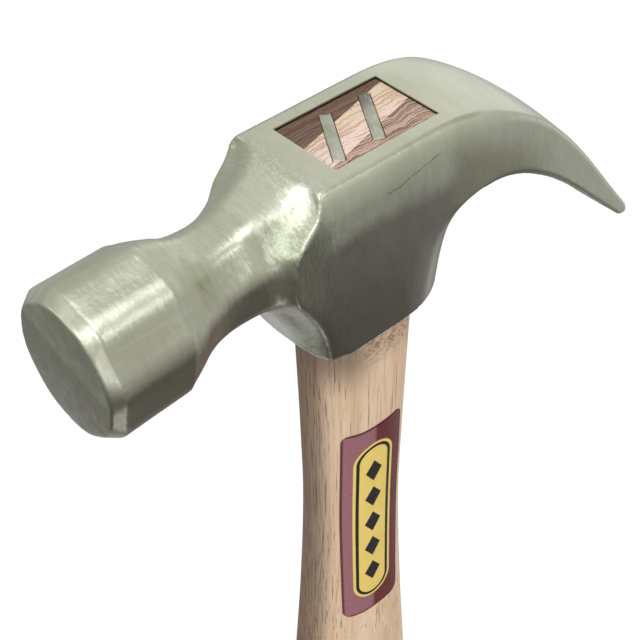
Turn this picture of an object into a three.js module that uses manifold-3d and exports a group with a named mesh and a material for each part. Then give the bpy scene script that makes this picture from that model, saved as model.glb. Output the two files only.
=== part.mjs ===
// A curved claw hammer with a timber handle, in millimetres.
// +Z runs up the handle to the head and +X points to the claw, so the striking face looks along -X.
// The origin is the middle of the flat butt. Head sizes are measured from the eye's centre line
// and down from the crown, which is the flat top of the head.
import * as THREE from 'three';
import { mergeVertices } from 'three/addons/utils/BufferGeometryUtils.js';
import Module from 'manifold-3d';

const wasm = await Module();
wasm.setup();

// The whole hammer
const hammerLength = 330;
const clearance = 0.3;
const overrun = 2;

// The body round the eye
const cheekWidth = 25.2;
const crownWidth = 20.8;
const crownBandDepth = 5;
const bodyDepth = 36.5;
const collarBack = 17;
const collarRoundStart = 1;
const bodyCore = 14;
const eyeLength = 23.4;
const eyeWidth = 15.3;
const eyeSetBack = 0.5;

// The bell and the striking face
const faceReach = 60.5;
const faceRadius = 12;
const faceBevel = 2.4;
const faceDrop = 17;
const bellAcross = 26.8;
const bellBackAcross = 26;
const bellCornerRadius = 6;
const bellBack = 44.6;
const bellBackDrop = 16.1;
const bellBackLean = 0.6;
const bellSides = 8;

// The neck and its flare into the body
const neckRadius = 8.9;
const neckDrop = 15.15;
const neckStart = 40;
const neckWaist = 32;
const shoulderRadius = 12.6;
const flareStart = 25;
const flareBack = 19.6;
const flareRadius = 30;
const flareTopLag = 5.6;
const flareBottomLag = 2.2;
const flareCornerLag = 1.6;

// The claw
const clawReach = 65.8;
const clawDrop = 45.8;
const clawStart = 8;
const clawRootDepth = 17.4;
const clawRootReach = 18;
const clawTipDepth = 1.5;
const clawCrown = 2.3;
const clawTopBevel = 0.8;
const clawTopBevelDepth = 1.2;
const clawLowBevel = 1.3;
const clawLowBevelDepth = 2.4;
const crownBandReach = 32;
const clawThroatReach = 27;
const slotRootReach = 36;
const slotRootWidth = 2.4;
const slotTipWidth = 10;

// The handle
const handleNeckLength = 23.6;
const handleNeckWidth = 16.8;
const waistLength = 20.6;
const waistWidth = 16.6;
const gripLength = 31;
const gripWidth = 24.6;
const buttLength = 35.5;
const buttWidth = 26;
const buttBevel = 3;
const tenonRecess = 0.6;
const sectionRoundness = 2.5;

// The wooden wedge, set slantwise in the tenon
const wedgeThickness = 6.6;
const wedgeToe = 1.4;
const wedgeDepth = 30;
const wedgeTurn = THREE.MathUtils.degToRad(14.3);

// The steel wedges, driven across the wooden wedge
const pinThickness = 2.2;
const pinToe = 0.7;
const pinLength = 13.2;
const pinDepth = 15;
const pinTurn = THREE.MathUtils.degToRad(58);
const frontPinReach = -5;
const rearPinReach = 3.9;

// The label on the side of the handle
const labelTopDrop = 66;
const labelHeight = 58;
const labelWidth = 14.7;
const labelCornerRadius = 2;
const labelThickness = 0.4;
const labelTurn = THREE.MathUtils.degToRad(-11);

// How finely curves are divided
const ringSteps = 40;
const lathSteps = 64;
const curveSteps = 16;
const cornerSteps = 4;

// Axes along which outlines are drawn and then pushed out into solids
const planAxes = new THREE.Matrix4();
const sideAxes = new THREE.Matrix4().makeBasis(
  new THREE.Vector3(1, 0, 0), new THREE.Vector3(0, 0, 1), new THREE.Vector3(0, -1, 0));
const crossAxes = new THREE.Matrix4().makeBasis(
  new THREE.Vector3(0, 1, 0), new THREE.Vector3(0, 0, 1), new THREE.Vector3(1, 0, 0));
const latheAxes = new THREE.Matrix4().makeBasis(
  new THREE.Vector3(0, 0, 1), new THREE.Vector3(1, 0, 0), new THREE.Vector3(0, 1, 0));

function solidOf(geometry) {
  const bare = geometry.clone();
  bare.deleteAttribute('normal');
  bare.deleteAttribute('uv');
  const merged = mergeVertices(bare.index ? bare.toNonIndexed() : bare);
  return new wasm.Manifold(new wasm.Mesh({
    numProp: 3,
    vertProperties: new Float32Array(merged.attributes.position.array),
    triVerts: new Uint32Array(merged.index.array),
  }));
}

function geometryOf(solid) {
  const mesh = solid.getMesh();
  const geometry = new THREE.BufferGeometry();
  geometry.setAttribute('position', new THREE.BufferAttribute(mesh.vertProperties, 3));
  geometry.setIndex(new THREE.BufferAttribute(mesh.triVerts, 1));
  return geometry;
}

// Pushes an outline out both ways from its plane, so that the solid is centred on that plane.
function slab(outline, axes, depth) {
  const geometry = new THREE.ExtrudeGeometry(outline, {
    depth, curveSegments: curveSteps, bevelEnabled: false,
  });
  geometry.translate(0, 0, -depth / 2);
  geometry.applyMatrix4(axes);
  return geometry;
}

function outlineOf(points) {
  return new THREE.Shape(points.map(([across, up]) => new THREE.Vector2(across, up)));
}

function rectangle(width, height) {
  return outlineOf([
    [-width / 2, -height / 2], [width / 2, -height / 2],
    [width / 2, height / 2], [-width / 2, height / 2],
  ]);
}

// Skins a stack of rings that all have the same number of points, and closes both ends.
function skin(rings) {
  const count = rings[0].length;
  const points = rings.flat();
  const faces = [];
  for (let ring = 0; ring < rings.length - 1; ring += 1) {
    for (let step = 0; step < count; step += 1) {
      const here = ring * count + step;
      const next = ring * count + (step + 1) % count;
      faces.push(here, next, next + count, here, next + count, here + count);
    }
  }
  const last = (rings.length - 1) * count;
  for (let step = 1; step < count - 1; step += 1) {
    faces.push(0, step + 1, step);
    faces.push(last, last + step, last + step + 1);
  }
  const geometry = new THREE.BufferGeometry().setFromPoints(points);
  geometry.setIndex(faces);
  return geometry;
}

// A ring in the XY plane whose roundness is 2 for an ellipse and grows towards a rectangle.
function roundedRing(length, width, roundness, height) {
  const ring = [];
  for (let step = 0; step < ringSteps; step += 1) {
    const angle = (step / ringSteps) * 2 * Math.PI;
    const along = Math.abs(Math.cos(angle)) ** (2 / roundness) * Math.sign(Math.cos(angle));
    const across = Math.abs(Math.sin(angle)) ** (2 / roundness) * Math.sign(Math.sin(angle));
    ring.push(new THREE.Vector3(along * length / 2, across * width / 2, height));
  }
  return ring;
}

// The space that holds the neck and the body: flat cheeks, the flat crown and a sloped band between.
function cheekBounds(depth, reach) {
  const section = outlineOf([
    [-cheekWidth / 2, -depth], [cheekWidth / 2, -depth],
    [cheekWidth / 2, -crownBandDepth], [crownWidth / 2, 0],
    [-crownWidth / 2, 0], [-cheekWidth / 2, -crownBandDepth],
  ]);
  return solidOf(slab(section, crossAxes, 2 * reach));
}

// How far the axis of the neck and the bell lies below the crown, at a place along the head.
// The neck's axis is level, and the bell droops a little towards its face.
function axisDrop(reach) {
  const joinShare = THREE.MathUtils.clamp((-reach - neckStart) / (bellBack - neckStart), 0, 1);
  const bellShare = Math.max(0, (-reach - bellBack) / (faceReach - bellBack));
  return neckDrop + (bellBackDrop - neckDrop) * joinShare + (faceDrop - bellBackDrop) * bellShare;
}

// Moves a shape that was made round the X axis to the axis of the neck and the bell. The lag is
// how far back a point goes, given its place along the head, its radius and its rise, which is
// 1 straight up, 0 level and -1 straight down.
function settleOnAxis(geometry, lag) {
  const place = geometry.attributes.position;
  for (let index = 0; index < place.count; index += 1) {
    const reach = place.getX(index);
    const up = place.getZ(index);
    const radius = Math.hypot(place.getY(index), up);
    place.setX(index, reach + (radius > 0 ? lag(reach, radius, up / radius) : 0));
    place.setZ(index, up - axisDrop(reach));
  }
  return geometry;
}

function bellOutline() {
  const shape = new THREE.Shape();
  const halfTurn = Math.PI / bellSides;
  const cornerReach = (bellAcross / 2 - bellCornerRadius) / Math.cos(halfTurn);
  for (let side = 0; side < bellSides; side += 1) {
    const angle = (side * 2 + 1) * halfTurn;
    shape.absarc(cornerReach * Math.cos(angle), cornerReach * Math.sin(angle), bellCornerRadius,
      angle - halfTurn, angle + halfTurn);
  }
  return shape;
}

function bell() {
  const length = faceReach - bellBack;
  const prism = new THREE.ExtrudeGeometry(bellOutline(), {
    depth: length, curveSegments: cornerSteps, bevelEnabled: false,
  });
  prism.translate(0, 0, -faceReach);
  prism.applyMatrix4(crossAxes);
  const place = prism.attributes.position;
  for (let index = 0; index < place.count; index += 1) {
    const backShare = (place.getX(index) + faceReach) / length;
    const scale = THREE.MathUtils.lerp(1, bellBackAcross / bellAcross, backShare);
    place.setY(index, place.getY(index) * scale);
    place.setZ(index, place.getZ(index) * scale);
  }
  const coneReach = faceBevel * 2;
  const cone = new THREE.LatheGeometry([
    new THREE.Vector2(0, -faceReach),
    new THREE.Vector2(faceRadius, -faceReach),
    new THREE.Vector2(faceRadius + coneReach, -faceReach + coneReach),
    new THREE.Vector2(faceRadius + coneReach, -bellBack + overrun),
    new THREE.Vector2(0, -bellBack + overrun),
  ], lathSteps);
  cone.applyMatrix4(latheAxes);
  const backLean = (reach, radius, rise) => (
    reach > -bellBack - overrun ? bellBackLean * rise * radius / (bellAcross / 2) : 0);
  return solidOf(settleOnAxis(prism, backLean)).intersect(solidOf(settleOnAxis(cone, () => 0)));
}

// Half of the neck's side view, swept round its axis. The flare runs on past the body's own
// surfaces, which then cut it off along the creases at the cheeks, the crown and the collar.
function neck() {
  const shoulder = shoulderRadius - neckRadius;
  const flare = flareRadius - neckRadius;
  const shoulderRun = bellBack - neckWaist;
  const flareRun = neckWaist - flareBack;
  const shoulderShares = [
    [1, 1], [0.87, 0.84], [0.71, 0.6], [0.6, 0.41], [0.48, 0.24], [0.34, 0.1], [0.18, 0.02], [0, 0],
  ];
  const flareShares = [
    [0.16, 0.003], [0.28, 0.012], [0.39, 0.033], [0.49, 0.07], [0.57, 0.116], [0.63, 0.17],
    [0.7, 0.242], [0.79, 0.336], [0.88, 0.44], [0.94, 0.545], [0.98, 0.68], [1, 1],
  ];
  const profile = [
    new THREE.Vector2(0, -bellBack - overrun),
    new THREE.Vector2(shoulderRadius, -bellBack - overrun),
    ...shoulderShares.map(([run, rise]) => new THREE.Vector2(
      neckRadius + shoulder * rise, -neckWaist - shoulderRun * run)),
    ...flareShares.map(([run, rise]) => new THREE.Vector2(
      neckRadius + flare * rise, -neckWaist + flareRun * run)),
    new THREE.Vector2(flareRadius, -bodyCore + flareTopLag),
    new THREE.Vector2(0, -bodyCore + flareTopLag),
  ];
  const geometry = new THREE.LatheGeometry(profile, lathSteps);
  geometry.applyMatrix4(latheAxes);
  const lag = (reach, radius, rise) => {
    if (reach > -bodyCore) return 0;
    const square = rise * rise;
    const corner = 4 * square * (1 - square);
    const flareLag = rise > 0 ? flareTopLag * square : flareBottomLag * square + flareCornerLag * corner;
    const flareShare = THREE.MathUtils.smoothstep(reach, -neckWaist, -flareStart);
    const shoulderShare = THREE.MathUtils.smoothstep(-reach, neckWaist, bellBack);
    return flareLag * flareShare + bellBackLean * rise * shoulderShare;
  };
  return solidOf(settleOnAxis(geometry, lag)).intersect(cheekBounds(bodyDepth, faceReach));
}

// The body behind the flare, with a rounded back that spreads into the claw's underside.
function post() {
  const levelShares = [1, 0.85, 0.72, 0.64, 0.57, 0.52, 0.48, 0.36];
  const spreadShares = [0, 0.05, 0.13, 0.22, 0.38, 0.62, 0.9, 1];
  const spread = clawThroatReach - collarBack;
  const rings = levelShares.map((level, index) => {
    const back = collarBack + spread * spreadShares[index];
    const roundness = 2 + 2 * spreadShares[index];
    const arc = roundedRing(2 * (back - collarRoundStart), cheekWidth, roundness, -bodyDepth * level);
    const half = arc.slice(0, ringSteps / 4 + 1);
    const mirrored = half.slice(1).map((point) => new THREE.Vector3(point.x, -point.y, point.z));
    const around = [...mirrored.reverse(), ...half];
    around.forEach((point) => point.setX(point.x + collarRoundStart));
    const front = new THREE.Vector3(-bodyCore, cheekWidth / 2, -bodyDepth * level);
    return [...around, front, front.clone().setY(-cheekWidth / 2)];
  });
  return solidOf(skin(rings));
}

// The claw's top and underside in side view, each as a curve from the body to the tip.
const clawTopShares = [[0.515, 0], [0.695, 0.466]];
const clawTop = new THREE.CubicBezierCurve(
  new THREE.Vector2(clawStart, 0),
  ...clawTopShares.map(([reach, drop]) => new THREE.Vector2(clawReach * reach, -clawDrop * drop)),
  new THREE.Vector2(clawReach, -clawDrop));
const clawUndersideShares = [[0.536, 0.386], [0.676, 0.647]];
const clawTipShares = [0.7, 0.5];
const clawUnderside = new THREE.CubicBezierCurve(
  new THREE.Vector2(clawRootReach, -clawRootDepth),
  ...clawUndersideShares.map(([reach, drop]) => new THREE.Vector2(clawReach * reach, -clawDrop * drop)),
  new THREE.Vector2(
    clawReach - clawTipDepth * clawTipShares[0], -clawDrop - clawTipDepth * clawTipShares[1]));

// One section of the claw, from its underside at low to its top at high. The sloped band along
// the crown narrows to a small bevel on the claw, whose top is slightly rounded from side to
// side. The bevel underneath starts behind the body, and all of them thin out with the claw.
function clawSection(low, high) {
  const crownShares = [0.6, 0.72];
  const half = cheekWidth / 2;
  const depth = low.distanceTo(high);
  const fineness = Math.min(1, depth / clawRootDepth);
  const band = 1 - THREE.MathUtils.smoothstep(high.x, clawStart, crownBandReach);
  const topBevel = THREE.MathUtils.lerp(clawTopBevel * fineness, half - crownWidth / 2, band);
  const topDepth = THREE.MathUtils.lerp(clawTopBevelDepth * fineness, crownBandDepth, band);
  const freeShare = THREE.MathUtils.smoothstep(low.x, clawRootReach, clawThroatReach);
  const lowBevel = clawLowBevel * fineness * freeShare;
  const lowDepth = clawLowBevelDepth * fineness;
  const crown = clawCrown * fineness * (1 - band);
  const flat = half - topBevel;
  const side = [
    [half - lowBevel, 0], [half, lowDepth], [half, depth - topDepth], [flat, depth],
    [flat * crownShares[0], depth + crown * crownShares[1]],
  ];
  const otherSide = side.map(([across, up]) => [-across, up]).reverse();
  return [...side, [0, depth + crown], ...otherSide].map(([across, up]) => {
    const point = low.clone().lerp(high, up / depth);
    return new THREE.Vector3(point.x, across, point.y);
  });
}

function clawBlank() {
  const rings = [clawSection(
    new THREE.Vector2(-bodyCore, -clawRootDepth), new THREE.Vector2(-bodyCore, 0))];
  for (let step = 0; step <= curveSteps; step += 1) {
    const share = step / curveSteps;
    rings.push(clawSection(clawUnderside.getPoint(share), clawTop.getPoint(share)));
  }
  return solidOf(skin(rings));
}

function nailSlot() {
  const length = clawReach - slotRootReach + overrun;
  const tip = slotTipWidth / 2;
  const root = slotRootWidth / 2;
  const shape = new THREE.Shape();
  shape.moveTo(slotRootReach + length, -tip);
  shape.lineTo(slotRootReach + length, tip);
  shape.lineTo(slotRootReach, root);
  shape.absarc(slotRootReach, 0, root, Math.PI / 2, Math.PI * 1.5);
  return solidOf(slab(shape, planAxes, 2 * hammerLength));
}

function eye(depth) {
  const hole = slab(rectangle(eyeLength, eyeWidth), planAxes, depth);
  hole.translate(eyeSetBack, 0, 0);
  return solidOf(hole);
}

function head() {
  const claw = clawBlank().subtract(nailSlot());
  return bell().add(neck()).add(post()).add(claw).subtract(eye(2 * bodyDepth + overrun));
}

// The size that is reached from the first of several, after a share of each change to the next.
function changed([first, ...others], stages) {
  return others.reduce((size, next, index) => THREE.MathUtils.lerp(size, next, stages[index]), first);
}

// The handle's sections from the butt up to the collar. A row of the stations holds the height,
// then how far the section has changed from the butt to the grip, from there to the waist, and
// from there to the neck under the collar.
function handleRings(grow) {
  const rise = hammerLength - bodyDepth - clearance;
  const buttRoundShares = [[0, 1], [0.6, 0.25], [1.6, 0]];
  const stationShares = [
    [0.06, 0, 0, 0], [0.14, 0.5, 0, 0], [0.24, 1, 0, 0], [0.38, 1, 0, 0], [0.48, 1, 0.08, 0],
    [0.58, 1, 0.34, 0], [0.7, 1, 0.76, 0], [0.8, 1, 1, 0], [0.87, 1, 1, 0.12], [0.94, 1, 1, 0.55],
    [1, 1, 1, 1],
  ];
  const ring = (length, width, height) => roundedRing(
    length + 2 * grow, width + 2 * grow, sectionRoundness, height);
  const butt = buttRoundShares.map(([level, inset]) => ring(
    buttLength - 2 * buttBevel * inset, buttWidth - 2 * buttBevel * inset, buttBevel * level));
  const shaft = stationShares.map(([level, ...stages]) => ring(
    changed([buttLength, gripLength, waistLength, handleNeckLength], stages),
    changed([buttWidth, gripWidth, waistWidth, handleNeckWidth], stages),
    rise * level));
  return [...butt, ...shaft];
}

// A wedge with its wide end up at the given height and its length along X before it is turned.
function wedge(length, thickness, toe, depth, grow) {
  const top = thickness / 2 + grow;
  const bottom = toe / 2 + grow;
  const section = outlineOf([
    [-bottom, -depth - grow], [bottom, -depth - grow], [top, 0], [-top, 0],
  ]);
  return slab(section, crossAxes, length + 2 * grow);
}

function woodWedge(length, grow) {
  const geometry = wedge(length, wedgeThickness, wedgeToe, wedgeDepth, grow);
  geometry.rotateZ(wedgeTurn);
  geometry.translate(eyeSetBack, 0, hammerLength - tenonRecess);
  return solidOf(geometry);
}

function steelWedge(reach, grow) {
  const geometry = wedge(pinLength, pinThickness, pinToe, pinDepth, grow);
  geometry.rotateZ(pinTurn);
  geometry.translate(reach, 0, hammerLength - tenonRecess);
  return solidOf(geometry);
}

function bothSteelWedges(grow) {
  return steelWedge(frontPinReach, grow).add(steelWedge(rearPinReach, grow));
}

function tenonBlock(gap) {
  const height = bodyDepth + clearance + overrun - tenonRecess;
  const block = slab(rectangle(eyeLength - 2 * gap, eyeWidth - 2 * gap), planAxes, height);
  block.translate(eyeSetBack, 0, hammerLength - tenonRecess - height / 2);
  return solidOf(block);
}

function handle() {
  const tenon = tenonBlock(clearance);
  return solidOf(skin(handleRings(0))).add(tenon)
    .subtract(woodWedge(2 * eyeLength, clearance))
    .subtract(bothSteelWedges(clearance));
}

function woodWedgeInEye() {
  return woodWedge(2 * eyeLength, 0).intersect(tenonBlock(clearance)).subtract(bothSteelWedges(clearance));
}

function label() {
  const shape = new THREE.Shape();
  const side = labelWidth / 2 - labelCornerRadius;
  const end = labelHeight / 2 - labelCornerRadius;
  shape.absarc(side, end, labelCornerRadius, 0, Math.PI / 2);
  shape.absarc(-side, end, labelCornerRadius, Math.PI / 2, Math.PI);
  shape.absarc(-side, -end, labelCornerRadius, Math.PI, Math.PI * 1.5);
  shape.absarc(side, -end, labelCornerRadius, Math.PI * 1.5, Math.PI * 2);
  const cutter = slab(shape, sideAxes, gripWidth);
  cutter.translate(0, -gripWidth / 2, hammerLength - labelTopDrop - labelHeight / 2);
  cutter.rotateZ(labelTurn);
  return solidOf(cutter)
    .intersect(solidOf(skin(handleRings(clearance + labelThickness))))
    .subtract(solidOf(skin(handleRings(clearance))));
}

const hammer = new THREE.Group();

function place(name, solid, colour, roughness, metalness) {
  const material = new THREE.MeshStandardMaterial({ color: colour, roughness, metalness });
  const mesh = new THREE.Mesh(geometryOf(solid), material);
  mesh.name = name;
  hammer.add(mesh);
  return mesh;
}

place('head', head(), 0x9a9c84, 0.4, 0.9).position.setZ(hammerLength);
place('handle', handle(), 0xc2a084, 0.7, 0);
place('wood_wedge', woodWedgeInEye(), 0xe0c6a4, 0.7, 0);
place('steel_wedge_front', steelWedge(frontPinReach, 0), 0x8f948a, 0.45, 0.9);
place('steel_wedge_rear', steelWedge(rearPinReach, 0), 0x8f948a, 0.45, 0.9);
place('label', label(), 0x6b1f2b, 0.5, 0);

export default hammer;
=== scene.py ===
"""A curved claw hammer dressed for its portrait: the forged head, the timber handle, the wedges
in the eye and the label on the handle. Sizes are in metres, and head sizes are measured from the
eye's centre line and down from the crown, the flat top of the head.
"""
import math

import bmesh
import bpy
from mathutils import Matrix, Vector, noise


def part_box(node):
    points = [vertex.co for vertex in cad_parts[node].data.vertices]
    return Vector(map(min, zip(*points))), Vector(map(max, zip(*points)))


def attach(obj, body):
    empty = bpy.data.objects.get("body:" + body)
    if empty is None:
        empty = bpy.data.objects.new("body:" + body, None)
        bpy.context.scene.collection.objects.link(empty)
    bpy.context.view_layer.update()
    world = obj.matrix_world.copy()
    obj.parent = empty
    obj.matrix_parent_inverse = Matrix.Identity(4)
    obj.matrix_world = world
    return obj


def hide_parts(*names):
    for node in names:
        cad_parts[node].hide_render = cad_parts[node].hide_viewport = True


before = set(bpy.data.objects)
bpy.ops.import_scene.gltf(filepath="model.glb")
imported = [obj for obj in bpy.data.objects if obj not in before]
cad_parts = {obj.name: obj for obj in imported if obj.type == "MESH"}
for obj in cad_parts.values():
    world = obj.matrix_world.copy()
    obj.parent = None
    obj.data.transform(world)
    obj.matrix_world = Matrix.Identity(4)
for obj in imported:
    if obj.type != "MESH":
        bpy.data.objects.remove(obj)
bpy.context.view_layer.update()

MM = 0.001
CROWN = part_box("head")[1].z
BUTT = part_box("handle")[0].z

# The body round the eye
CHEEK = 12.6 * MM
BODY_DEPTH = 36.5 * MM
BODY_CORE = 14 * MM
COLLAR_BACK = 17 * MM
COLLAR_ROUND_START = 1 * MM
EYE_LENGTH = 23.4 * MM
EYE_WIDTH = 15.3 * MM
EYE_SET_BACK = 0.5 * MM

# The bell and the striking face
FACE_REACH = 60.5 * MM
FACE_RADIUS = 11.8 * MM
FACE_DROP = 17 * MM
FACE_CROWN = 0.35 * MM
FACE_EDGE = 0.12 * MM
BELL_RADIUS = 13.0 * MM
BELL_BACK_RADIUS = 12.8 * MM
BELL_BACK = 44.6 * MM
BELL_BACK_DROP = 16.1 * MM
BELL_BACK_EDGE = 0.1 * MM
BELL_BACK_STEP = 0.25 * MM
BELL_LEAN = 0.6 * MM
BELL_TURN = math.radians(11)
CHAMFER_LENGTH = 2.5 * MM
CORNER_TURN = math.pi / 8
FACE_ROUNDNESS = 0.82
BELL_ROUNDNESS = 0.52
NECK_ROUNDNESS = 0.42

# The neck and its flare
NECK_RADIUS = 8.9 * MM
NECK_DROP = 15.15 * MM
NECK_START = 40 * MM
NECK_WAIST = 32 * MM
SHOULDER_RADIUS = 12.6 * MM
FLARE_BACK = 19.6 * MM
FLARE_START = 25 * MM
FLARE_RADIUS = 30 * MM
FLARE_TOP_RISE = (0.42, 0.95)
FLARE_FAR_LAG = 2.7 * MM
FLARE_FAR_GROWTH = (1.02 * NECK_RADIUS, 1.4 * NECK_RADIUS)
FLARE_BOTTOM_LAG = 2.2 * MM
FLARE_CORNER_LAG = 1.6 * MM

# The claw
CLAW_REACH = 66.05 * MM
CLAW_DROP = 45.8 * MM
CLAW_START = 8 * MM
CLAW_ROOT_DEPTH = 17.4 * MM
CLAW_ROOT_REACH = 18 * MM
CLAW_TIP_DEPTH = 3.3 * MM
CLAW_TIP_ROUND = 2.6 * MM
CLAW_TIP_SET_BACK = 2.2 * MM
CLAW_TIP_LOW = 1.0 * MM
CLAW_CROWN = 2.3 * MM
CLAW_LOW_BEVEL = 0.8 * MM
CLAW_LOW_BEVEL_DEPTH = 1.8 * MM
CROWN_BAND_REACH = 32 * MM
CLAW_THROAT_REACH = 27 * MM
SLOT_ROOT_REACH = 36 * MM
SLOT_ROOT_HALF = 1.2 * MM
SLOT_TIP_HALF = 5 * MM

# The handle
COLLAR_GAP = 0.3 * MM
HANDLE_TOP = CROWN - BODY_DEPTH - COLLAR_GAP
HANDLE_FULLNESS = 2.5
BUTT_SIZE = (35.5 * MM, 26 * MM)
GRIP_SIZE = (31 * MM, 24.6 * MM)
WAIST_SIZE = (20.6 * MM, 16.6 * MM)
NECK_SIZE = (23.6 * MM, 16.8 * MM)
BUTT_BEVEL = 3 * MM
TENON_RECESS = 0.6 * MM
TENON_GAP = 0.12 * MM
TENON_ROOT = 0.05 * MM
KERF_GAP = 0.06 * MM
PIN_GAP = 0.1 * MM

# The wedges
WEDGE_THICKNESS = 6.6 * MM
WEDGE_TOE = 1.4 * MM
WEDGE_DEPTH = 30 * MM
WEDGE_TURN = math.radians(14.3)
PIN_THICKNESS = 2.2 * MM
PIN_TOE = 0.7 * MM
PIN_LENGTH = 13.2 * MM
PIN_DEPTH = 15 * MM
PIN_TURN = math.radians(58)
PIN_BEVEL = 0.22 * MM
PIN_REACHES = {"steel_wedge_front": -5 * MM, "steel_wedge_rear": 3.9 * MM}

# The label
LABEL_TOP_DROP = 66 * MM
LABEL_HALF_HEIGHT = 29 * MM
LABEL_HALF_WIDTH = 7.35 * MM
LABEL_CORNER = 2 * MM
LABEL_LIFT = 0.14 * MM
LABEL_THICKNESS = 0.16 * MM
LABEL_TURN = math.radians(-11)

# The yellow panel and the lozenges on the label, in mm
PANEL_STRAIGHT = 19.4
PANEL_HALF_WIDTH = 4.9
LOZENGE_PITCH = 8
LOZENGE_HALF_WIDTH = 2.1
LOZENGE_HALF_HEIGHT = 3.1
LOZENGE_ROW = 20.2

# The photographer's place and aim, found from the eye, the crown and the cheeks in the picture
CAMERA_PLACE = (-0.130, -0.1365, CROWN + 0.1314)
CAMERA_AZIMUTH = -41.93
CAMERA_ELEVATION = 43.06
CAMERA_ROLL = -0.6
CAMERA_LENS = 77.64
CAMERA_SHIFT = (-0.0047, 0.0005)

# Round panels of light: azimuth, elevation, the angles from its middle where each starts to fade
# and ends, all in degrees, and its strength
STUDIO_PANELS = [
    (0, 90, 14, 24, 1.9),
    (96, 64, 3, 8, 1.2),
    (31, 47, 4, 9, 3.4),
    (-52, 45, 4, 14, 1.1),
    (-75, 50, 8, 15, 2.2),
    (-96, 32, 6, 14, 2.8),
    (-116, 42, 4, 11, 0.65),
    (-125, 10, 5, 12, 1.2),
    (-150, 42, 8, 22, 0.2),
    (-44, 11, 6, 14, 1.25),
    (-32, -68, 6, 12, 1.6),
    (118, 4, 10, 24, 0.45),
    (130, 26, 8, 18, 0.25),
    (72, -26, 12, 30, 0.35),
    (60, -76, 4, 12, 0.35),
    (-180, -65, 10, 28, 0.5),
]

# How far along the head the top of the flare lies, in mm, where it is so far from the neck's axis
FLARE_TOP = [(8.9, -32), (9, -29.5), (9.8, -26), (11.1, -23.5), (12.6, -21), (14, -19.3), (15.15, -18),
             (16.5, -16.9), (30, -16.4)]

# How far the sides lie in from the full width, in mm, at depths below the top edge
BODY_EDGE = [(0, 2.2), (0.4, 1.8), (0.8, 1.45), (1.3, 1.1), (2, 0.75), (3, 0.42), (4, 0.2), (5, 0.07),
             (7, 0)]
CLAW_EDGE = [(0, 0.8), (0.1, 0.55), (0.25, 0.36), (0.45, 0.2), (0.7, 0.1), (1, 0.03), (1.5, 0), (3, 0),
             (5, 0)]

# How finely surfaces are made
VOXEL = 0.36 * MM
SMOOTHING = 4
KEPT_SHARE = 0.6
RING_STEPS = 160
OVAL_STEPS = 96
CLAW_STEPS = 48
OVERRUN = 2 * MM

# How uneven the forging's skin is, and how close together its swells lie
SWELL = 0.03 * MM
BROAD_SWELLS = 140
FINE_SWELLS = 330


def mix(first, second, share):
    return first + (second - first) * share


def clamp(value):
    return min(1, max(0, value))


def ease(value, start, end):
    """Rises smoothly from 0 at start to 1 at end."""
    share = clamp((value - start) / (end - start))
    return share * share * (3 - 2 * share)


def flowing(rows, steps):
    """The rows of numbers joined by a smooth curve, with this many steps from each to the next."""
    ends = [rows[0], *rows, rows[-1]]
    path = []
    for a, b, c, d in zip(ends, ends[1:], ends[2:], ends[3:]):
        for step in range(steps):
            t = step / steps
            path.append(tuple(
                q + 0.5 * t * (r - p + t * (2 * p - 5 * q + 4 * r - s + t * (3 * (q - r) + s - p)))
                for p, q, r, s in zip(a, b, c, d)))
    return [*path, tuple(rows[-1])]


# Making and joining solids


def to_piece(bm, name):
    """A new object in the scene with the mesh that was shaped, its doubles merged."""
    bmesh.ops.remove_doubles(bm, verts=bm.verts, dist=0.001 * MM)
    bmesh.ops.recalc_face_normals(bm, faces=bm.faces)
    mesh = bpy.data.meshes.new(name)
    bm.to_mesh(mesh)
    bm.free()
    piece = bpy.data.objects.new(name, mesh)
    bpy.context.scene.collection.objects.link(piece)
    return piece


def settle(piece):
    """Makes the piece's modifiers part of its mesh."""
    depsgraph = bpy.context.evaluated_depsgraph_get()
    mesh = bpy.data.meshes.new_from_object(piece.evaluated_get(depsgraph))
    piece.modifiers.clear()
    bare = piece.data
    piece.data = mesh
    bpy.data.meshes.remove(bare)
    return piece


def smoothed(piece, angle):
    """Shades the piece smoothly, apart from edges that turn by more than an angle in degrees."""
    piece.data.shade_smooth()
    piece.data.set_sharp_from_angle(angle=math.radians(angle))
    return piece


def modify(piece, kind, **settings):
    modifier = piece.modifiers.new(kind.lower(), kind)
    for key, value in settings.items():
        setattr(modifier, key, value)
    return settle(piece)


def carve(piece, tools, operation="DIFFERENCE"):
    for tool in tools:
        modify(piece, "BOOLEAN", operation=operation, solver="EXACT", object=tool)
    return piece


def discard(pieces):
    for piece in pieces:
        bpy.data.objects.remove(piece)


def loft(name, rings):
    """A closed solid through rings of points that all have the same number of points."""
    bm = bmesh.new()
    bmesh.ops.create_circle(bm, cap_ends=True, segments=len(rings[0]), radius=1)
    face = bm.faces[:][0]
    for index, ring in enumerate(rings):
        if index:
            covered = [face] if index > 1 else []
            grown = bmesh.ops.extrude_face_region(bm, geom=[face])["geom"]
            face = next(item for item in grown if isinstance(item, bmesh.types.BMFace))
            bmesh.ops.delete(bm, geom=covered, context="FACES_ONLY")
        for vert, point in zip(face.verts, ring):
            vert.co = point
    return to_piece(bm, name)


def block(name, low, high):
    bm = bmesh.new()
    size = Vector(high) - Vector(low)
    middle = (Vector(high) + Vector(low)) / 2
    bmesh.ops.create_cube(bm, size=1, matrix=Matrix.Translation(middle) @ Matrix.Diagonal((*size, 1)))
    return to_piece(bm, name)


def oval_ring(length, width, height, fullness, count):
    """A level ring, an ellipse when fullness is 2, that grows towards a rectangle."""
    ring = []
    for step in range(count):
        angle = step / count * math.tau
        c, s = math.cos(angle), math.sin(angle)
        along = math.copysign(abs(c) ** (2 / fullness), c)
        across = math.copysign(abs(s) ** (2 / fullness), s)
        ring.append(Vector((along * length / 2, across * width / 2, height)))
    return ring


# The head


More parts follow.
